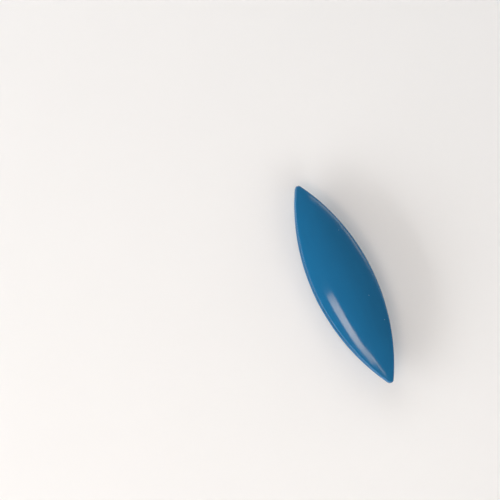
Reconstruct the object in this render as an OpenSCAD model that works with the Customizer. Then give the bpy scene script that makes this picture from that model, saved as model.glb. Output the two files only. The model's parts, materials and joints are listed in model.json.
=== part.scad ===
// Tatting shuttle: two cambered, pointed blades held apart by a post that the thread is wound on.
// Both blades are the same moulding. The lower one is the upper one turned over about the long axis.
// Frame: X along the shuttle, Y across it, Z up. The origin is under the middle, where the belly of
// the lower blade touches the table.

/* [Shuttle] */
// Length over the two tips
shuttle_l = 70; // [60:1:80]
// Height over both blades at the middle
shuttle_h = 12.5; // [11:0.5:15]

/* [Blades] */
// Width of a blade at the middle
blade_w = 19.75; // [16:0.25:24]
// Wall thickness of a blade, which ends in a full round at the rim
blade_wall = 1.3; // [1:0.1:1.6]
// How far the long rims lie below the crown at the middle
blade_curl = 2.4; // [1.6:0.1:3.4]
// Radius of the tip, seen from above
tip_r = 1.1; // [0.8:0.1:2]
// Gap between the two blades where the tips close on each other
tip_gap = 0.1; // [0.05:0.05:0.5]

/* [Post] */
// Length of the post along the shuttle
post_l = 12; // [10:0.5:16]
// Width of the post across the shuttle
post_w = 4; // [3.5:0.25:6]
// Diameter of the hole that the end of the thread is tied through
thread_hole_d = 2; // [1.5:0.1:2.6]
// Chamfer round both mouths of that hole, which keeps them from fraying the thread
hole_chamfer = 0.3; // [0.1:0.05:0.5]

/* [Seats and dowels] */
// Height of the seat that stands on the inside of each blade, at the middle
seat_h = 2; // [1.8:0.1:2.4]
// How far a seat flares out on each side towards the blade that carries it
seat_flare = 0.4; // [0.2:0.1:0.8]
// Diameter of the dowels on the ends of the post
dowel_d = 2; // [1.6:0.1:2.2]
// Length of a dowel
dowel_l = 1.6; // [1:0.1:1.8]
// Lead-in chamfer on the end of a dowel
dowel_chamfer = 0.3; // [0.1:0.05:0.5]
// Distance between the two dowels on one end of the post
dowel_pitch = 6.5; // [5:0.5:7]
// Radial room between a dowel and its socket
dowel_fit = 0.03; // [0.01:0.01:0.08]
// Room left at the blind end of a socket
socket_room = 0.2; // [0.1:0.1:0.4]

/* [Hidden] */
blue = "#1a6799";
round_fn = 64;
// How far a cutter runs past the face that it opens
overcut = 0.2;

// Steps along the blade, round each nose, across a face and round a rim. Odd numbers along and
// across leave one level facet at the crown, which the shuttle rests on.
steps_along = 41;
steps_nose = 4;
steps_across = 13;
steps_rim = 6;

// The spine is the middle of the wall along the crown: one arc from nose to nose
rim_r = blade_wall / 2;
spine_top = shuttle_h / 2 - rim_r;
spine_end = tip_gap / 2 + rim_r;
spine_half_l = shuttle_l / 2 - rim_r;
spine_rise = spine_top - spine_end;
spine_r = (spine_half_l * spine_half_l + spine_rise * spine_rise) / (2 * spine_rise);
spine_end_angle = asin(spine_half_l / spine_r);

// The outline from above: two long arcs that run into a round tip of radius tip_r
tip_centre = shuttle_l / 2 - tip_r;
half_w = blade_w / 2;
outline_r = (tip_centre * tip_centre + half_w * half_w - tip_r * tip_r) / (2 * (half_w - tip_r));
outline_tangent = outline_r * tip_centre / (outline_r - tip_r);

// The curl across the blade: one arc through the crown and both rims
curl_half_w = half_w - rim_r;
curl_r = (curl_half_w * curl_half_w + blade_curl * blade_curl) / (2 * blade_curl);

// Heights on the inside of a blade, measured from the plane between the blades
crown_inside = shuttle_h / 2 - blade_wall;
seat_face = crown_inside - seat_h;
socket_depth = dowel_l + socket_room;

function half_width(x) =
    abs(x) < outline_tangent
        ? sqrt(outline_r * outline_r - x * x) - (outline_r - half_w)
        : sqrt(max(0, tip_r * tip_r - pow(abs(x) - tip_centre, 2)));

// A station is [place along X, height, lean of the section, half of the wall there]
function station_on_spine(angle) =
    [spine_r * sin(angle), spine_top - spine_r * (1 - cos(angle)), angle, rim_r];

function station_on_nose(side, turn) =
    [side * (spine_half_l + rim_r * sin(turn) * cos(spine_end_angle)),
     spine_end - rim_r * sin(turn) * sin(spine_end_angle),
     side * spine_end_angle,
     rim_r * cos(turn)];

// The nose stops just short of a quarter turn, where its last section is still a thin loop
nose_turn = 85;
least_reach = 0.02;
stations = concat(
    [for (i = [steps_nose:-1:1]) station_on_nose(-1, nose_turn * i / steps_nose)],
    [for (i = [0:steps_along]) station_on_spine(spine_end_angle * sin(90 * (2 * i / steps_along - 1)))],
    [for (i = [1:steps_nose]) station_on_nose(1, nose_turn * i / steps_nose)]
);

// One closed section: over the outside, round one rim, back along the inside, round the other rim
function section(s) =
    let (half = s[3],
         reach = max(least_reach, half_width(s[0]) - half),
         swing = asin(reach / curl_r),
         across = [for (k = [0:steps_across]) swing * (2 * k / steps_across - 1)],
         rim = [for (k = [1:steps_rim - 1]) 180 * k / steps_rim])
    [for (a = across) ring_point(a, half, a),
     for (b = rim) ring_point(swing, half, swing + b),
     for (k = [steps_across:-1:0]) ring_point(across[k], half, across[k] + 180),
     for (b = rim) ring_point(-swing, half, -swing + 180 + b)];

// A point at the swing angle on the curl, moved off it by half the wall in the direction given
function ring_point(swing, half, direction) =
    [curl_r * sin(swing) + half * sin(direction),
     curl_r * (cos(swing) - 1) + half * cos(direction)];

function place(s, p) =
    [s[0] + p[1] * sin(s[2]), p[0], s[1] + p[1] * cos(s[2])];

module loft(rings) {
    n = len(rings[0]);
    last = len(rings) - 1;
    points = [for (ring = rings) for (p = ring) p];
    walls = [for (i = [0:last - 1]) for (k = [0:n - 1])
        let (a = i * n + k, b = i * n + (k + 1) % n)
        each [[a, b, b + n], [a, b + n, a + n]]];
    caps = [[for (k = [n - 1:-1:0]) k], [for (k = [0:n - 1]) last * n + k]];
    polyhedron(points, concat(walls, caps));
}

module stadium(length, width, height) {
    linear_extrude(height) {
        square([length - width, width], center = true);
        for (side = [-1, 1])
            translate([side * (length - width) / 2, 0]) circle(d = width, $fn = round_fn);
    }
}

// A seat has the post's outline at its face and runs into the wall of the blade
module seat() {
    hull() {
        translate([0, 0, seat_face]) stadium(post_l, post_w, overcut);
        translate([0, 0, crown_inside])
            stadium(post_l + 2 * seat_flare, post_w + 2 * seat_flare, rim_r);
    }
}

module dowel_places() {
    for (side = [-1, 1])
        translate([side * dowel_pitch / 2, 0, 0]) children();
}

// One dowel that runs through the post and stands out at both of its ends
module dowel() {
    reach = seat_face + dowel_l;
    straight = reach - dowel_chamfer;
    cylinder(d = dowel_d, h = 2 * straight, center = true, $fn = round_fn);
    for (side = [0, 1])
        mirror([0, 0, side])
            translate([0, 0, straight])
                cylinder(d1 = dowel_d, d2 = dowel_d - 2 * dowel_chamfer, h = dowel_chamfer,
                         $fn = round_fn);
}

// The cutter for the thread hole, along Y, with its two countersinks
module thread_hole() {
    rotate([90, 0, 0]) {
        cylinder(d = thread_hole_d, h = post_w, center = true, $fn = round_fn);
        for (side = [0, 1])
            mirror([0, 0, side])
                translate([0, 0, post_w / 2 - hole_chamfer])
                    cylinder(d1 = thread_hole_d,
                             d2 = thread_hole_d + 2 * (hole_chamfer + overcut),
                             h = hole_chamfer + overcut, $fn = round_fn);
    }
}

// A blade as the upper one, above the plane between the blades
module blade() {
    difference() {
        union() {
            loft([for (s = stations) [for (p = section(s)) place(s, p)]]);
            seat();
        }
        dowel_places()
            translate([0, 0, seat_face - overcut])
                cylinder(d = dowel_d + 2 * dowel_fit, h = overcut + socket_depth, $fn = round_fn);
    }
}

module upper_blade() {
    color(blue) translate([0, 0, shuttle_h / 2]) blade();
}

module lower_blade() {
    color(blue) translate([0, 0, shuttle_h / 2]) rotate([180, 0, 0]) blade();
}

module post() {
    color(blue) translate([0, 0, shuttle_h / 2])
        difference() {
            union() {
                translate([0, 0, -seat_face]) stadium(post_l, post_w, 2 * seat_face);
                dowel_places() dowel();
            }
            thread_hole();
        }
}

upper_blade();
lower_blade();
post();
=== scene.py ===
import json
from math import asin, cos, pi, radians, sin, sqrt

import bmesh
import bpy
from bpy.props import FloatProperty, FloatVectorProperty, PointerProperty
from mathutils import Euler, Matrix, Vector


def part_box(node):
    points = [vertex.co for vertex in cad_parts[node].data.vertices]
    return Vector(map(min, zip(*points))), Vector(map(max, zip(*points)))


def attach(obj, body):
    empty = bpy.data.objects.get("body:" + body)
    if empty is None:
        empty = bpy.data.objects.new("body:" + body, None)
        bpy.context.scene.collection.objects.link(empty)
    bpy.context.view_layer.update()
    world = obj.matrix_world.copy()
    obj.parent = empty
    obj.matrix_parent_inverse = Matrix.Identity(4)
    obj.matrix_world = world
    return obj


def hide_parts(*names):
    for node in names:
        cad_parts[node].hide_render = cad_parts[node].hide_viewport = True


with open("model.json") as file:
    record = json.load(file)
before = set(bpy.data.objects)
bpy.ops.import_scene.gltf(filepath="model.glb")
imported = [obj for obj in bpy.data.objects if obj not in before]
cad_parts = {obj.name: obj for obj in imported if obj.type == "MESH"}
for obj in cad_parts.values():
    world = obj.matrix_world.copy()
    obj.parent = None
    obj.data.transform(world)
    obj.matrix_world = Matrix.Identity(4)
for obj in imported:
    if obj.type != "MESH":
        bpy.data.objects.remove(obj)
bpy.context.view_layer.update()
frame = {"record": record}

bl_info = {
    "name": "Tatting shuttle",
    "version": (1, 0, 0),
    "blender": (4, 5, 0),
    "location": "3D View > Sidebar > Shuttle",
    "description": "Makes a moulded tatting shuttle round its CAD model, and the studio it lies in",
    "category": "Add Mesh",
}

MM = 0.001
BODY = "root"

# What the CAD model says: the box of each piece, and the hole through the post
UPPER_LOW, UPPER_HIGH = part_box("upper_blade")
LOWER_LOW, LOWER_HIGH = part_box("lower_blade")
POST_LOW, POST_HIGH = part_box("post")
THREAD_HOLE = next(m for m in frame["record"]["mounts"] if m["name"] == "thread_hole")
MID_HEIGHT = (UPPER_HIGH.z + LOWER_LOW.z) / 2

# How finely the meshes are made
STEPS_ALONG = 132
STEPS_NOSE = 10
STEPS_ACROSS = 36
STEPS_RIM = 14
STEPS_OUTLINE_END = 20
STEPS_FILLET = 6
STEPS_TURN = 64
STEPS_BEVEL = 4
STEPS_COVE = 12
STEPS_FLOOR = 96
STEPS_STRIP = 32

# The nose stops just short of a quarter turn, where its last section is still a thin loop
NOSE_TURN = 86
LEAST_REACH = 0.02 * MM

# How far the fillet's edge sinks into the blade, so that the two join in one skin
SEAT_SINK = 0.05 * MM

# Slots of the two finishes on every piece
POLISHED = 0
SATIN = 1

# In degrees: a blade's edges stay sharp beyond the first, and the post's are rounded beyond the second
SHARP_ANGLE = 50
BEVEL_ANGLE = 30

# Refractive index of ABS
ABS_INDEX = 1.54

# Width of the camera's sensor in millimetres
SENSOR_WIDTH = 36

# Radius of the flat disc that closes the middle of the floor
FLOOR_CENTRE = 1 * MM

# The thin strip hangs this much lower than the long one, which it partly covers
STREAK_DROP = 10 * MM

# A strip of light grows over the first share of its length along X, and fades over the last one
RISE_SHARE = 0.2
FADE_SHARE = 0.38


def linear(hex_colour):
    """The linear red, green, blue and alpha of an sRGB colour such as #1e6ba6."""
    parts = [int(hex_colour[i:i + 2], 16) / 255 for i in (1, 3, 5)]
    return (*(c / 12.92 if c <= 0.04045 else ((c + 0.055) / 1.055) ** 2.4 for c in parts), 1.0)


# Settings that the panel shows


class ShuttleSizes(bpy.types.PropertyGroup):
    """Sizes of the shuttle. Those that the CAD model gives start from it."""

    length: FloatProperty(
        name="Length", description="Length over the two tips",
        default=UPPER_HIGH.x - UPPER_LOW.x, unit="LENGTH")
    width: FloatProperty(
        name="Width", description="Width of a blade at the middle",
        default=UPPER_HIGH.y - UPPER_LOW.y, unit="LENGTH")
    height: FloatProperty(
        name="Height", description="Height over both blades at the middle",
        default=UPPER_HIGH.z - LOWER_LOW.z, unit="LENGTH")
    wall: FloatProperty(
        name="Wall", description="Thickness of a blade", default=1.3 * MM, unit="LENGTH")
    curl: FloatProperty(
        name="Curl", description="How far the long rims lie below the crown at the middle",
        default=2.4 * MM, unit="LENGTH")
    tip_radius: FloatProperty(
        name="Tip radius", description="Radius of a tip, seen from above",
        default=1.1 * MM, unit="LENGTH")
    tip_gap: FloatProperty(
        name="Tip gap", description="Gap between the two blades at a tip",
        default=UPPER_LOW.z - LOWER_HIGH.z, unit="LENGTH")
    post_length: FloatProperty(
        name="Post length", description="Length of the post along the shuttle",
        default=POST_HIGH.x - POST_LOW.x, unit="LENGTH")
    post_width: FloatProperty(
        name="Post width", description="Width of the post across the shuttle",
        default=POST_HIGH.y - POST_LOW.y, unit="LENGTH")
    hole_radius: FloatProperty(
        name="Hole radius", description="Radius of the hole for the end of the thread",
        default=THREAD_HOLE["dims"]["r_mm"] * MM, unit="LENGTH")
    hole_chamfer: FloatProperty(
        name="Hole chamfer", description="Chamfer round both mouths of that hole",
        default=(POST_HIGH.y - POST_LOW.y - THREAD_HOLE["dims"]["length_mm"] * MM) / 2, unit="LENGTH")
    seat_height: FloatProperty(
        name="Seat height", description="Height of the seat inside each blade",
        default=2.0 * MM, unit="LENGTH")
    seat_flare: FloatProperty(
        name="Seat flare", description="How far a seat flares out on each side towards its blade",
        default=0.4 * MM, unit="LENGTH")
    seat_fillet: FloatProperty(
        name="Seat fillet", description="Fillet between a seat and its blade",
        default=0.6 * MM, unit="LENGTH")
    edge_round: FloatProperty(
        name="Edge round", description="Round on the edges of the post and the seats",
        default=0.15 * MM, unit="LENGTH")
    dowel_radius: FloatProperty(
        name="Dowel radius", description="Radius of the dowels on the ends of the post",
        default=1.0 * MM, unit="LENGTH")
    dowel_length: FloatProperty(
        name="Dowel length", description="Length of a dowel", default=1.6 * MM, unit="LENGTH")
    dowel_chamfer: FloatProperty(
        name="Dowel chamfer", description="Lead-in chamfer on a dowel", default=0.3 * MM, unit="LENGTH")
    dowel_pitch: FloatProperty(
        name="Dowel pitch", description="Distance between the two dowels on one end of the post",
        default=6.5 * MM, unit="LENGTH")
    dowel_fit: FloatProperty(
        name="Dowel fit", description="Radial room between a dowel and its socket",
        default=0.03 * MM, unit="LENGTH")
    socket_room: FloatProperty(
        name="Socket room", description="Room left at the blind end of a socket",
        default=0.2 * MM, unit="LENGTH")


class PlasticFinish(bpy.types.PropertyGroup):
    """Colour and gloss of the plastic, and the colour of the dust on it."""

    colour: FloatVectorProperty(
        name="Colour", description="Colour of the plastic all through",
        subtype="COLOR", size=4, min=0, max=1, default=linear("#115e89"))
    cloud_colour: FloatVectorProperty(
        name="Cloud colour", description="Colour where the pigment lies a little denser",
        subtype="COLOR", size=4, min=0, max=1, default=linear("#146796"))
    dust_colour: FloatVectorProperty(
        name="Dust colour", description="Colour of the few motes of dust",
        subtype="COLOR", size=4, min=0, max=1, default=linear("#9fb2bf"))
    polish_roughness: FloatProperty(
        name="Polished roughness", description="Roughness of the outside, from a polished mould",
        default=0.09, min=0, max=1, subtype="FACTOR")
    satin_roughness: FloatProperty(
        name="Satin roughness", description="Roughness of the inside and the post",
        default=0.5, min=0, max=1, subtype="FACTOR")


class StudioSettings(bpy.types.PropertyGroup):
    """Camera, lamps and floor."""

    camera_place: FloatVectorProperty(
        name="Camera place", description="Where the camera stands",
        subtype="TRANSLATION", unit="LENGTH", size=3,
        default=(20.94 * MM, -64.35 * MM, 481.54 * MM))
    camera_turn: FloatVectorProperty(
        name="Camera turn", description="How the camera is turned, about X, Y and Z",
        subtype="EULER", size=3,
        default=(radians(6.88), radians(-2.286), radians(64.587)))
    focal_length: FloatProperty(
        name="Focal length", description="Focal length in millimetres on a 36 mm sensor",
        default=107.3)
    strip_height: FloatProperty(
        name="Strip height", description="Height at which the long strip of light hangs level",
        default=0.6, unit="LENGTH")
    strip_start: FloatVectorProperty(
        name="Strip start", description="Where the strip starts, seen from above",
        size=2, unit="LENGTH", default=(-0.014, -0.363))
    strip_start_handle: FloatVectorProperty(
        name="Strip start handle", description="Handle of the strip's curve at its start",
        size=2, unit="LENGTH", default=(0.282, -0.252))
    strip_end_handle: FloatVectorProperty(
        name="Strip end handle", description="Handle of the strip's curve at its end",
        size=2, unit="LENGTH", default=(0.237, -0.137))
    strip_end: FloatVectorProperty(
        name="Strip end", description="Where the strip ends, seen from above",
        size=2, unit="LENGTH", default=(0.317, -0.094))
    strip_widths: FloatVectorProperty(
        name="Strip widths",
        description="Width along Y of the strip at its start, in the middle and at its end",
        size=3, unit="LENGTH", default=(0.195, 0.138, 0.135))
    strip_radiance: FloatProperty(
        name="Strip radiance", description="Radiance of the long strip, where 1 is white paper's",
        default=6.9)
    strip_end_shares: FloatVectorProperty(
        name="Strip end shares", description="Shares of that radiance at the strip's start and end",
        size=2, min=0, max=1, default=(0.47, 0.45))
    streak_start: FloatVectorProperty(
        name="Streak start", description="Where the thin straight light beside the strip starts",
        size=2, unit="LENGTH", default=(0.25, -0.116))
    streak_end: FloatVectorProperty(
        name="Streak end", description="Where the thin straight light ends",
        size=2, unit="LENGTH", default=(0.383, 0.036))
    streak_width: FloatProperty(
        name="Streak width", description="Width along Y of the thin straight light",
        default=0.024, unit="LENGTH")
    streak_radiance: FloatProperty(
        name="Streak radiance", description="Radiance of the thin straight light", default=6.2)
    streak_end_shares: FloatVectorProperty(
        name="Streak end shares", description="Shares of that radiance at its start and end",
        size=2, min=0, max=1, default=(1.0, 0.6))
    rim_start: FloatVectorProperty(
        name="Rim light start", description="Where the light that one rim mirrors starts, seen from above",
        size=2, unit="LENGTH", default=(-0.45, 0.38))
    rim_start_handle: FloatVectorProperty(
        name="Rim light start handle", description="Handle of its curve at its start",
        size=2, unit="LENGTH", default=(-0.36, 0.68))
    rim_end_handle: FloatVectorProperty(
        name="Rim light end handle", description="Handle of its curve at its end",
        size=2, unit="LENGTH", default=(-0.33, 1.05))
    rim_end: FloatVectorProperty(
        name="Rim light end", description="Where it ends, seen from above",
        size=2, unit="LENGTH", default=(-0.06, 1.21))
    rim_widths: FloatVectorProperty(
        name="Rim light widths",
        description="Width along Y of that light at its start, in the middle and at its end",
        size=3, unit="LENGTH", default=(0.34, 0.3, 0.12))
    rim_radiance: FloatProperty(
        name="Rim light radiance", description="Radiance of the light that one rim mirrors",
        default=3.5)
    rim_end_shares: FloatVectorProperty(
        name="Rim light end shares", description="Shares of that radiance at its start and end",
        size=2, min=0, max=1, default=(1.0, 0.4))
    lamp_colour: FloatVectorProperty(
        name="Lamp colour", description="Colour of the three strips of light",
        subtype="COLOR", size=4, min=0, max=1, default=linear("#ffe8d4"))
    end_box_place: FloatVectorProperty(
        name="End softbox place",
        description="Where the softbox beyond one tip stands. The other one mirrors it",
        subtype="TRANSLATION", unit="LENGTH", size=3, default=(0.95, 0.0, 0.6))
    end_box_size: FloatVectorProperty(
        name="End softbox size", description="Width and height of those softboxes",
        size=2, unit="LENGTH", default=(1.0, 0.5))
    end_radiance: FloatProperty(
        name="End radiance", description="Radiance of the softboxes beyond both tips", default=2.7)
    side_box_place: FloatVectorProperty(
        name="Side softbox place", description="Where the low softbox beside the shuttle stands",
        subtype="TRANSLATION", unit="LENGTH", size=3, default=(0.0, -1.05, 0.36))
    side_box_size: FloatVectorProperty(
        name="Side softbox size", description="Width and height of the low softbox",
        size=2, unit="LENGTH", default=(1.3, 0.4))
    side_radiance: FloatProperty(
        name="Side radiance", description="Radiance of the low softbox beside the shuttle", default=6.3)
    sky_radiance: FloatProperty(
        name="Sky radiance", description="Radiance of the rest of the surroundings", default=0.18)
    floor_colour: FloatVectorProperty(
        name="Floor colour", description="Colour of the floor and the wall round it",
        subtype="COLOR", size=4, min=0, max=1, default=linear("#f4f4f4"))
    floor_radius: FloatProperty(
        name="Floor radius", description="Radius of the level part of the floor",
        default=0.9, unit="LENGTH")
    cove_radius: FloatProperty(
        name="Cove radius", description="Radius at which the floor curves up",
        default=0.4, unit="LENGTH")
    wall_height: FloatProperty(
        name="Wall height", description="Height of the wall above that curve",
        default=0.3, unit="LENGTH")


# Meshes and pieces


def new_object(name, mesh, materials):
    """A smooth-shaded object of that mesh, in the scene, with those materials in its slots."""
    for material in materials:
        mesh.materials.append(material)
    mesh.shade_smooth()
    made = bpy.data.objects.new(name, mesh)
    bpy.context.scene.collection.objects.link(made)
    return made


def finish_piece(piece, node):
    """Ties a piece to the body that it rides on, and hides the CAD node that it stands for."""
    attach(piece, BODY)
    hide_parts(node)


def apply_modifiers(piece):
    """Puts the result of a piece's modifiers into its mesh."""
    bpy.context.view_layer.update()
    seen = piece.evaluated_get(bpy.context.evaluated_depsgraph_get())
    result = bpy.data.meshes.new_from_object(seen)
    piece.modifiers.clear()
    piece.data = result


def mesh_of(made, name):
    """A mesh with what a bmesh holds. The bmesh is freed."""
    mesh = bpy.data.meshes.new(name)
    made.to_mesh(mesh)
    made.free()
    return mesh


def circle(radius, height, steps, x=0.0):
    """Points round a level circle, anticlockwise."""
    turns = [2 * pi * k / steps for k in range(steps)]
    return [Vector((x + radius * cos(t), radius * sin(t), height)) for t in turns]


def skin(rings, materials_of_steps):
    """A closed mesh over rings of points.

    The slot of a face comes from its step round the ring, and that of both caps from the first step.
    """
    made = bmesh.new()
    rows = [[made.verts.new(point) for point in ring] for ring in rings]
    count = len(rows[0])
    for low, high in zip(rows, rows[1:]):
        for k in range(count):
            after = (k + 1) % count
            face = made.faces.new((low[k], low[after], high[after], high[k]))
            face.material_index = materials_of_steps[k]
    for cap in (reversed(rows[0]), rows[-1]):
        made.faces.new(cap).material_index = materials_of_steps[0]
    bmesh.ops.recalc_face_normals(made, faces=made.faces)
    return mesh_of(made, "skin")


def turned(profile, x):
    """A closed satin mesh turned about an upright axis at x, from (radius, height) pairs, lowest first."""
    rings = [circle(radius, height, STEPS_TURN, x) for radius, height in profile]
    return skin(rings, [SATIN] * STEPS_TURN)


def carve(piece, operation, tool_mesh):
    """Joins a tool's mesh to a piece with UNION, or cuts it out with DIFFERENCE."""
    tool = new_object(piece.name + "_tool", tool_mesh, both_finishes())
    step = piece.modifiers.new("carve", "BOOLEAN")
    step.operation = operation
    step.solver = "EXACT"
    step.object = tool
    apply_modifiers(piece)
    bpy.data.objects.remove(tool)


# The blades and the post


class Blade:
    """The curves of the upper blade, in metres, above the plane between the blades.

    The spine is the middle of the wall along the crown, one arc from nose to nose. The curl is one
    arc across. The outline from above is two long arcs that run into a round tip.
    """

    def __init__(self, sizes):
        self.rim = sizes.wall / 2
        self.top = sizes.height / 2 - self.rim
        self.reach = sizes.length / 2 - self.rim
        self.end = sizes.tip_gap / 2 + self.rim
        rise = self.top - self.end
        self.spine = (self.reach ** 2 + rise ** 2) / (2 * rise)
        self.lean = asin(self.reach / self.spine)
        self.tip = sizes.tip_radius
        self.tip_centre = sizes.length / 2 - self.tip
        half = sizes.width / 2
        self.arc = (self.tip_centre ** 2 + half ** 2 - self.tip ** 2) / (2 * (half - self.tip))
        self.arc_drop = self.arc - half
        self.tangent = self.arc * self.tip_centre / (self.arc - self.tip)
        self.curl = ((half - self.rim) ** 2 + sizes.curl ** 2) / (2 * sizes.curl)
        self.seat_face = self.top - self.rim - sizes.seat_height

    def half_width(self, x):
        """Half of the blade's width at a place along it."""
        if abs(x) < self.tangent:
            return sqrt(self.arc ** 2 - x * x) - self.arc_drop
        return sqrt(max(0.0, self.tip ** 2 - (abs(x) - self.tip_centre) ** 2))

    def inside_height(self, x, y):
        """Height of the inner face over a point near the middle of the blade."""
        swing = asin(y / (self.curl - self.rim))
        drop = self.curl * (cos(swing) - 1) - self.rim * cos(swing)
        return self.top - self.spine + sqrt((self.spine + drop) ** 2 - x * x)

    def stations(self):
        """Place along, height, lean and half of the wall of each section, from nose to nose."""
        spine = []
        for i in range(STEPS_ALONG + 1):
            angle = self.lean * sin(pi / 2 * (2 * i / STEPS_ALONG - 1))
            height = self.top - self.spine * (1 - cos(angle))
            spine.append((self.spine * sin(angle), height, angle, self.rim))
        nose = []
        for i in range(1, STEPS_NOSE + 1):
            turn = radians(NOSE_TURN) * i / STEPS_NOSE
            out = self.rim * sin(turn)
            nose.append((self.reach + out * cos(self.lean), self.end - out * sin(self.lean),
                         self.lean, self.rim * cos(turn)))
        start = [(-x, height, -angle, wall) for x, height, angle, wall in reversed(nose)]
        return start + spine + nose

    def section(self, station):
        """The closed ring of points at one station: outer face, rim, inner face, other rim."""
        x, height, lean, wall = station
        swing = asin(max(LEAST_REACH, self.half_width(x) - wall) / self.curl)
        across = [swing * (2 * k / STEPS_ACROSS - 1) for k in range(STEPS_ACROSS + 1)]
        round_rim = [pi * k / STEPS_RIM for k in range(1, STEPS_RIM)]
        turns = [(a, a) for a in across]
        turns += [(swing, swing + b) for b in round_rim]
        turns += [(a, a + pi) for a in reversed(across)]
        turns += [(-swing, pi - swing + b) for b in round_rim]
        ring = []
        for a, direction in turns:
            y = self.curl * sin(a) + wall * sin(direction)
            rise = self.curl * (cos(a) - 1) + wall * cos(direction)
            ring.append(Vector((x + rise * sin(lean), y, height + rise * cos(lean))))
        return ring


def finish_of_steps():
    """The finish of each step round a blade's section: the polish ends half way round either rim."""
    half_rim = STEPS_RIM // 2
    faces = [POLISHED] * (STEPS_ACROSS + half_rim) + [SATIN] * (STEPS_ACROSS + 2 * half_rim)
    return faces + [POLISHED] * half_rim


def stadium(length, width, grow=0.0):
    """Points round a stadium that is grown outwards, anticlockwise."""
    straight = (length - width) / 2
    radius = width / 2 + grow
    turns = [pi * k / STEPS_OUTLINE_END for k in range(STEPS_OUTLINE_END + 1)]
    right = [(straight + radius * sin(t), -radius * cos(t)) for t in turns]
    left = [(-straight - radius * sin(t), radius * cos(t)) for t in turns]
    return right + left


def seat_rings(blade, sizes):
    """Rings of a seat: its flat face, a rounded edge, its side and the fillet that sinks into the blade."""
    face = blade.seat_face
    edge = sizes.edge_round
    fillet = sizes.seat_fillet
    flare = sizes.seat_flare
    quarter = [pi / 2 * k / STEPS_FILLET for k in range(STEPS_FILLET + 1)]
    rings = []
    for t in quarter:
        outline = stadium(sizes.post_length, sizes.post_width, -edge * (1 - sin(t)))
        rings.append([Vector((x, y, face + edge * (1 - cos(t)))) for x, y in outline])
    for t in quarter:
        below = fillet * (1 - sin(t))
        grown = flare * (1 - below / sizes.seat_height) + fillet * (1 - cos(t))
        outline = stadium(sizes.post_length, sizes.post_width, grown)
        sunk = SEAT_SINK * t / (pi / 2)
        rings.append([Vector((x, y, blade.inside_height(x, y) - below + sunk)) for x, y in outline])
    rings.append([Vector((x, y, blade.top)) for x, y in stadium(sizes.post_length, sizes.post_width)])
    return rings


def make_blade(name, node, upside_down):
    """One blade with its drilled seat joined to it, in place."""
    sizes = bpy.context.scene.shuttle_sizes
    blade = Blade(sizes)
    shell = skin([blade.section(s) for s in blade.stations()], finish_of_steps())
    piece = new_object(name, shell, both_finishes())
    rings = seat_rings(blade, sizes)
    seat = new_object(name + "_seat", skin(rings, [SATIN] * len(rings[0])), both_finishes())
    bore = sizes.dowel_radius + sizes.dowel_fit
    mouth = 2 * sizes.edge_round
    end = blade.seat_face + sizes.dowel_length + sizes.socket_room
    socket = [(bore + 2 * mouth, blade.seat_face - mouth), (bore, blade.seat_face + mouth), (bore, end)]
    for side in (-1, 1):
        carve(seat, "DIFFERENCE", turned(socket, side * sizes.dowel_pitch / 2))
    carve(piece, "UNION", seat.data)
    bpy.data.objects.remove(seat)
    turn = Matrix.Rotation(pi if upside_down else 0.0, 4, "X")
    piece.data.transform(Matrix.Translation((0, 0, MID_HEIGHT)) @ turn)
    piece.data.set_sharp_from_angle(angle=radians(SHARP_ANGLE))
    finish_piece(piece, node)


def make_post():
    """The stadium post with its dowels and its countersunk thread hole, all its edges rounded."""
    sizes = bpy.context.scene.shuttle_sizes
    half = Blade(sizes).seat_face
    outline = stadium(sizes.post_length, sizes.post_width)
    rings = [[Vector((x, y, z)) for x, y in outline] for z in (-half, half)]
    piece = new_object("post_body", skin(rings, [SATIN] * len(outline)), both_finishes())
    tip = half + sizes.dowel_length
    radius = sizes.dowel_radius
    thin = radius - sizes.dowel_chamfer
    straight = tip - sizes.dowel_chamfer
    dowel = [(thin, -tip), (radius, -straight), (radius, straight), (thin, tip)]
    for side in (-1, 1):
        carve(piece, "UNION", turned(dowel, side * sizes.dowel_pitch / 2))
    out = sizes.post_width
    hole = sizes.hole_radius
    inner = sizes.post_width / 2 - sizes.hole_chamfer
    # Each countersink flares at 45 degrees from the end of the straight bore and runs out into the open
    wide = hole + out - inner
    drill = turned([(wide, -out), (hole, -inner), (hole, inner), (wide, out)], 0.0)
    drill.transform(Matrix.Rotation(pi / 2, 4, "X"))
    carve(piece, "DIFFERENCE", drill)
    edges = piece.modifiers.new("edges", "BEVEL")
    edges.limit_method = "ANGLE"
    edges.angle_limit = radians(BEVEL_ANGLE)
    edges.width = sizes.edge_round
    edges.segments = STEPS_BEVEL
    apply_modifiers(piece)
    piece.data.transform(Matrix.Translation((0, 0, MID_HEIGHT)))
    finish_piece(piece, "post")


# Materials


def add_node(tree, kind, settings=None, links=None):
    """Adds a node, sets its inputs or properties by name and links inputs to other nodes' outputs."""
    node = tree.nodes.new(kind)
    for name, value in (settings or {}).items():
        if hasattr(node, name):
            setattr(node, name, value)
        else:
            socket_named(node.inputs, name).default_value = value
    for name, output in (links or {}).items():
        tree.links.new(output, socket_named(node.inputs, name))
    return node


def socket_named(sockets, name):
    """The socket with that identifier, which is its label unless several share one."""
    return next(s for s in sockets if s.identifier == name)


def noise(tree, place, patch, detail=2.0):
    """Noise between 0 and 1, in patches of about that width."""
    settings = {"Scale": 1 / patch, "Detail": detail}
    return add_node(tree, "ShaderNodeTexNoise", settings, {"Vector": place}).outputs["Fac"]


def drawn_out(tree, place, squeeze, turn=0.0):
    """A place with its X squeezed, and then turned. Noise over it runs in streaks along X."""
    settings = {"Rotation": (0.0, 0.0, turn), "Scale": (squeeze, 1.0, 1.0)}
    return add_node(tree, "ShaderNodeMapping", settings, {"Vector": place}).outputs["Vector"]


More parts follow.
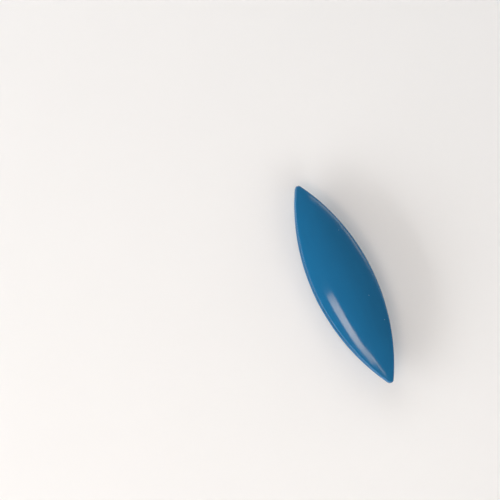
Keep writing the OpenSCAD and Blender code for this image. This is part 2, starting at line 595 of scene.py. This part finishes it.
def calculate(tree, operation, *values):
    """The result of a math node. Its values are numbers or the outputs of other nodes."""
    node = add_node(tree, "ShaderNodeMath", {"operation": operation})
    for socket, value in zip(node.inputs, values):
        if isinstance(value, float):
            socket.default_value = value
        else:
            tree.links.new(value, socket)
    return node.outputs["Value"]


def remap(tree, value, given, wanted):
    """A value that is brought from one range to another, and held inside it."""
    settings = {"From Min": given[0], "From Max": given[1], "To Min": wanted[0], "To Max": wanted[1]}
    return add_node(tree, "ShaderNodeMapRange", settings, {"Value": value}).outputs["Result"]


def new_material(name):
    """An empty material, its node tree and the output that gives the place on the object."""
    material = bpy.data.materials.new(name)
    material.use_nodes = True
    tree = material.node_tree
    tree.nodes.clear()
    return material, tree, add_node(tree, "ShaderNodeTexCoord").outputs["Object"]


def show(tree, surface):
    """Makes a shader the surface of its material."""
    add_node(tree, "ShaderNodeOutputMaterial", {}, {"Surface": surface})


def show_abs(tree, colour, roughness, normal):
    """Makes solid ABS the surface of a material."""
    shader = add_node(
        tree, "ShaderNodeBsdfPrincipled", {"IOR": ABS_INDEX},
        {"Base Color": colour, "Roughness": roughness, "Normal": normal})
    show(tree, shader.outputs["BSDF"])


def abs_pigment(tree, place):
    """Colour of the melt: soft clouds of pigment, and faint streaks drawn out along the blade."""
    finish = bpy.context.scene.plastic_finish
    clouds = noise(tree, place, patch=14 * MM, detail=3.0)
    streaks = noise(tree, drawn_out(tree, place, squeeze=0.06), patch=1.4 * MM)
    streak_share = 0.35
    amount = add_node(
        tree, "ShaderNodeMix", {"data_type": "FLOAT", "Factor_Float": streak_share},
        {"A_Float": clouds, "B_Float": streaks})
    colour = add_node(
        tree, "ShaderNodeMix",
        {"data_type": "RGBA", "A_Color": finish.colour, "B_Color": finish.cloud_colour},
        {"Factor_Float": socket_named(amount.outputs, "Result_Float")})
    return socket_named(colour.outputs, "Result_Color")


def hairlines(tree, place, turn):
    """Fine scratches from handling, along the blade. Real ones are 20 microns wide, these 80.

    The turn is that of the noise behind them, and only picks another set of scratches.
    """
    spread = noise(tree, drawn_out(tree, place, squeeze=0.02, turn=turn), patch=0.3 * MM, detail=0.0)
    # Only the crests of the noise are scratches
    return remap(tree, spread, given=(0.74, 0.82), wanted=(0.0, 1.0))


def dust_specks(tree, place):
    """Sparse motes of pale dust, about 0.2 mm wide, on a quarter of the cells of an 8 mm net."""
    net = add_node(
        tree, "ShaderNodeTexVoronoi", {"voronoi_dimensions": "2D", "Scale": 1 / (8 * MM)},
        {"Vector": place})
    fray = 0.02
    ragged = calculate(
        tree, "MULTIPLY_ADD", noise(tree, place, patch=0.15 * MM), fray, net.outputs["Distance"])
    # As parts of a cell: a mote is solid inside the second distance and gone beyond the first
    mote = remap(tree, ragged, given=(0.026, 0.018), wanted=(0.0, 0.7))
    chance = add_node(tree, "ShaderNodeSeparateColor", {}, {"Color": net.outputs["Color"]}).outputs["Red"]
    empty_cells = 0.75
    return calculate(tree, "MULTIPLY", mote, calculate(tree, "GREATER_THAN", chance, empty_cells))


def polished_abs():
    """Mass-coloured ABS from a polished mould: deep gloss over a faintly clouded blue.

    The skin has the slow ripple of moulded plastic, a haze that comes and goes, a few hairlines
    that show where the light strikes, and a mote of dust here and there.
    """
    known = bpy.data.materials.get("polished_abs")
    if known:
        return known
    finish = bpy.context.scene.plastic_finish
    material, tree, place = new_material("polished_abs")
    motes = dust_specks(tree, place)
    colour = add_node(
        tree, "ShaderNodeMix", {"data_type": "RGBA", "B_Color": finish.dust_colour},
        {"Factor_Float": motes, "A_Color": abs_pigment(tree, place)})
    first, second = (hairlines(tree, place, radians(turn)) for turn in (9, -34))
    lines = calculate(tree, "MAXIMUM", first, second)
    clearest, haziest = finish.polish_roughness - 0.03, finish.polish_roughness + 0.04
    haze = noise(tree, place, patch=5 * MM, detail=4.0)
    gloss = remap(tree, haze, given=(0.0, 1.0), wanted=(clearest, haziest))
    rougher_by_line, rougher_by_mote = 0.1, 0.5
    scuffed = calculate(tree, "MULTIPLY_ADD", lines, rougher_by_line, gloss)
    dusty = calculate(tree, "MULTIPLY_ADD", motes, rougher_by_mote, scuffed)
    waves = add_node(
        tree, "ShaderNodeBump", {"Strength": 1.0, "Distance": 0.003 * MM},
        {"Height": noise(tree, place, patch=3 * MM, detail=1.0)})
    grooves = add_node(
        tree, "ShaderNodeBump", {"Strength": 1.0, "Distance": 0.0002 * MM, "invert": True},
        {"Height": lines, "Normal": waves.outputs["Normal"]})
    show_abs(tree, socket_named(colour.outputs, "Result_Color"), dusty, grooves.outputs["Normal"])
    return material


def satin_abs():
    """The same ABS as moulded against spark-eroded steel: satin, with a fine grain all over."""
    known = bpy.data.materials.get("satin_abs")
    if known:
        return known
    finish = bpy.context.scene.plastic_finish
    material, tree, place = new_material("satin_abs")
    smoothest, roughest = finish.satin_roughness - 0.06, finish.satin_roughness + 0.06
    grain = noise(tree, place, patch=0.2 * MM)
    sheen = remap(tree, grain, given=(0.0, 1.0), wanted=(smoothest, roughest))
    bump = add_node(
        tree, "ShaderNodeBump", {"Strength": 0.6, "Distance": 0.01 * MM}, {"Height": grain})
    show_abs(tree, abs_pigment(tree, place), sheen, bump.outputs["Normal"])
    return material


def both_finishes():
    """The materials of every piece, in the order of the slots POLISHED and SATIN."""
    return [polished_abs(), satin_abs()]


def matt_floor():
    """Matt pale board: one even colour with a trace of mottle."""
    studio = bpy.context.scene.studio_settings
    material, tree, place = new_material("matt_board")
    darkest = 0.985
    tone = remap(tree, noise(tree, place, patch=40 * MM), given=(0.0, 1.0), wanted=(darkest, 1.0))
    colour = add_node(
        tree, "ShaderNodeMix",
        {"data_type": "RGBA", "A_Color": linear("#000000"), "B_Color": studio.floor_colour},
        {"Factor_Float": tone})
    board = add_node(
        tree, "ShaderNodeBsdfDiffuse", {}, {"Color": socket_named(colour.outputs, "Result_Color")})
    # Seen from below, the floor lets the camera through to the shuttle
    below = add_node(tree, "ShaderNodeNewGeometry").outputs["Backfacing"]
    seen = add_node(tree, "ShaderNodeLightPath").outputs["Is Camera Ray"]
    clear = add_node(tree, "ShaderNodeBsdfTransparent")
    shader = add_node(
        tree, "ShaderNodeMixShader", {},
        {"Fac": calculate(tree, "MULTIPLY", below, seen), "Shader": board.outputs["BSDF"],
         "Shader_001": clear.outputs["BSDF"]})
    show(tree, shader.outputs["Shader"])
    return material


def glowing_panel(name, radiance, start_x, end_x, end_shares):
    """The diffuser of a strip of light. It glows less towards its two ends, by their shares."""
    studio = bpy.context.scene.studio_settings
    material, tree, place = new_material(name)
    along = add_node(tree, "ShaderNodeSeparateXYZ", {}, {"Vector": place}).outputs["X"]
    length = end_x - start_x
    start_share, end_share = end_shares
    rising = remap(
        tree, along, given=(start_x, start_x + RISE_SHARE * length), wanted=(start_share, 1.0))
    fading = remap(
        tree, along, given=(end_x - FADE_SHARE * length, end_x),
        wanted=(radiance, end_share * radiance))
    shader = add_node(
        tree, "ShaderNodeEmission", {"Color": studio.lamp_colour},
        {"Strength": calculate(tree, "MULTIPLY", rising, fading)})
    show(tree, shader.outputs["Emission"])
    return material


# The stage


def make_floor():
    """A round floor that curves up into a low wall all round."""
    studio = bpy.context.scene.studio_settings
    radius, cove = studio.floor_radius, studio.cove_radius
    bends = [pi / 2 * k / STEPS_COVE for k in range(1, STEPS_COVE + 1)]
    profile = [(FLOOR_CENTRE, 0.0), (radius, 0.0)]
    profile += [(radius + cove * sin(t), cove * (1 - cos(t))) for t in bends]
    profile += [(radius + cove, cove + studio.wall_height)]
    made = bmesh.new()
    rows = [[made.verts.new(point) for point in circle(r, z, STEPS_FLOOR)] for r, z in profile]
    for inner, outer in zip(rows, rows[1:]):
        for k in range(STEPS_FLOOR):
            after = (k + 1) % STEPS_FLOOR
            made.faces.new((inner[k], outer[k], outer[after], inner[after]))
    made.faces.new(rows[0])
    new_object("floor", mesh_of(made, "floor"), [matt_floor()])


def bent_strip(name, height, curve, widths, panel):
    """A level strip of light over the shuttle, along a curve given by its ends and handles.

    It is as wide along Y as the three widths say, at its start, in the middle and at its end.
    """
    start, start_handle, end_handle, end = (Vector((*place, height)) for place in curve)
    start_width, middle_width, end_width = widths
    made = bmesh.new()
    rows = []
    for k in range(STEPS_STRIP + 1):
        t = k / STEPS_STRIP
        u = 1 - t
        place = u ** 3 * start + 3 * u * u * t * start_handle + 3 * u * t * t * end_handle + t ** 3 * end
        width = start_width * (1 - 2 * t) * u + middle_width * 4 * t * u + end_width * t * (2 * t - 1)
        rows.append([made.verts.new(place + Vector((0, side * width / 2, 0))) for side in (-1, 1)])
    for low, high in zip(rows, rows[1:]):
        made.faces.new((low[0], low[1], high[1], high[0]))
    strip = new_object(name, mesh_of(made, name), [panel])
    strip.visible_camera = False
    return strip


def add_strips():
    """Three strips: the long highlight's, a thin straight one beside it, and one that a rim mirrors."""
    studio = bpy.context.scene.studio_settings
    start, end = studio.strip_start, studio.strip_end
    bent_strip(
        "long_strip", studio.strip_height,
        (start, studio.strip_start_handle, studio.strip_end_handle, end), studio.strip_widths,
        glowing_panel(
            "long_diffuser", studio.strip_radiance, start[0], end[0], studio.strip_end_shares))
    start, end = Vector(studio.streak_start), Vector(studio.streak_end)
    bent_strip(
        "thin_strip", studio.strip_height - STREAK_DROP,
        (start, start.lerp(end, 1 / 3), start.lerp(end, 2 / 3), end), [studio.streak_width] * 3,
        glowing_panel(
            "thin_diffuser", studio.streak_radiance, start.x, end.x, studio.streak_end_shares))
    start, end = studio.rim_start, studio.rim_end
    rim = bent_strip(
        "rim_strip", studio.strip_height,
        (start, studio.rim_start_handle, studio.rim_end_handle, end), studio.rim_widths,
        glowing_panel("rim_diffuser", studio.rim_radiance, start[0], end[0], studio.rim_end_shares))
    # It only shows in reflections, and draws a light line along one rim
    rim.visible_diffuse = False


def add_softbox(name, place, size, radiance):
    """A white rectangular softbox at a place, facing the shuttle, of that size and radiance."""
    lamp = bpy.data.lights.new(name, "AREA")
    lamp.shape = "RECTANGLE"
    lamp.size, lamp.size_y = size
    # A flat lamp of this power has this radiance over its face
    lamp.energy = radiance * pi * size[0] * size[1]
    made = bpy.data.objects.new(name, lamp)
    bpy.context.scene.collection.objects.link(made)
    made.visible_camera = False
    sight = Vector((0, 0, MID_HEIGHT)) - Vector(place)
    made.matrix_world = Matrix.Translation(place) @ sight.to_track_quat("-Z", "Y").to_matrix().to_4x4()
    return made


def add_softboxes():
    """A softbox beyond each tip, and a low one beside the shuttle."""
    studio = bpy.context.scene.studio_settings
    x, y, z = studio.end_box_place
    add_softbox("near_end_softbox", (x, y, z), studio.end_box_size, studio.end_radiance)
    add_softbox("far_end_softbox", (-x, y, z), studio.end_box_size, studio.end_radiance)
    side = add_softbox(
        "side_softbox", studio.side_box_place, studio.side_box_size, studio.side_radiance)
    # Kept out of reflections, or the round of each rim would show it as a bright line
    side.visible_glossy = False


def add_sky():
    """A dim, even, white sky."""
    world = bpy.data.worlds.new("sky")
    world.use_nodes = True
    background = world.node_tree.nodes["Background"]
    background.inputs["Color"].default_value = linear("#ffffff")
    background.inputs["Strength"].default_value = bpy.context.scene.studio_settings.sky_radiance
    bpy.context.scene.world = world


def add_camera():
    """The camera at the photograph's viewing angle."""
    studio = bpy.context.scene.studio_settings
    lens = bpy.data.cameras.new("camera")
    lens.sensor_width = SENSOR_WIDTH
    lens.lens = studio.focal_length
    camera = bpy.data.objects.new("camera", lens)
    bpy.context.scene.collection.objects.link(camera)
    camera.location = studio.camera_place
    camera.rotation_euler = Euler(studio.camera_turn)
    bpy.context.scene.camera = camera


# Operators, panel and registration


class SHUTTLE_OT_blades(bpy.types.Operator):
    """Makes the upper and the lower blade, each with its seat"""

    bl_idname = "shuttle.make_blades"
    bl_label = "Make the blades"

    def execute(self, context):
        make_blade("upper_blade_shell", "upper_blade", upside_down=False)
        make_blade("lower_blade_shell", "lower_blade", upside_down=True)
        return {"FINISHED"}


class SHUTTLE_OT_post(bpy.types.Operator):
    """Makes the post with its thread hole"""

    bl_idname = "shuttle.make_post"
    bl_label = "Make the post"

    def execute(self, context):
        make_post()
        return {"FINISHED"}


class SHUTTLE_OT_stage(bpy.types.Operator):
    """Makes the floor, the lamps and the camera"""

    bl_idname = "shuttle.set_stage"
    bl_label = "Set the stage"

    def execute(self, context):
        make_floor()
        add_strips()
        add_softboxes()
        add_sky()
        add_camera()
        context.scene.view_settings.view_transform = "Standard"
        return {"FINISHED"}


class SHUTTLE_PT_panel(bpy.types.Panel):
    """The sizes, the finish and the steps of making the shuttle"""

    bl_label = "Tatting shuttle"
    bl_idname = "SHUTTLE_PT_panel"
    bl_space_type = "VIEW_3D"
    bl_region_type = "UI"
    bl_category = "Shuttle"

    def draw(self, context):
        for name, group in GROUPS.items():
            box = self.layout.box()
            for setting in group.__annotations__:
                box.prop(getattr(context.scene, name), setting)
        for operator in OPERATORS:
            self.layout.operator(operator.bl_idname)


GROUPS = {"shuttle_sizes": ShuttleSizes, "plastic_finish": PlasticFinish, "studio_settings": StudioSettings}
OPERATORS = (SHUTTLE_OT_blades, SHUTTLE_OT_post, SHUTTLE_OT_stage)
CLASSES = (*GROUPS.values(), *OPERATORS, SHUTTLE_PT_panel)


def register():
    for added in CLASSES:
        bpy.utils.register_class(added)
    for name, group in GROUPS.items():
        setattr(bpy.types.Scene, name, PointerProperty(type=group))


def unregister():
    for name in GROUPS:
        delattr(bpy.types.Scene, name)
    for added in reversed(CLASSES):
        bpy.utils.unregister_class(added)


def main():
    """Makes everything in order."""
    register()
    bpy.ops.shuttle.make_blades()
    bpy.ops.shuttle.make_post()
    bpy.ops.shuttle.set_stage()


if __name__ == "__main__":
    main()
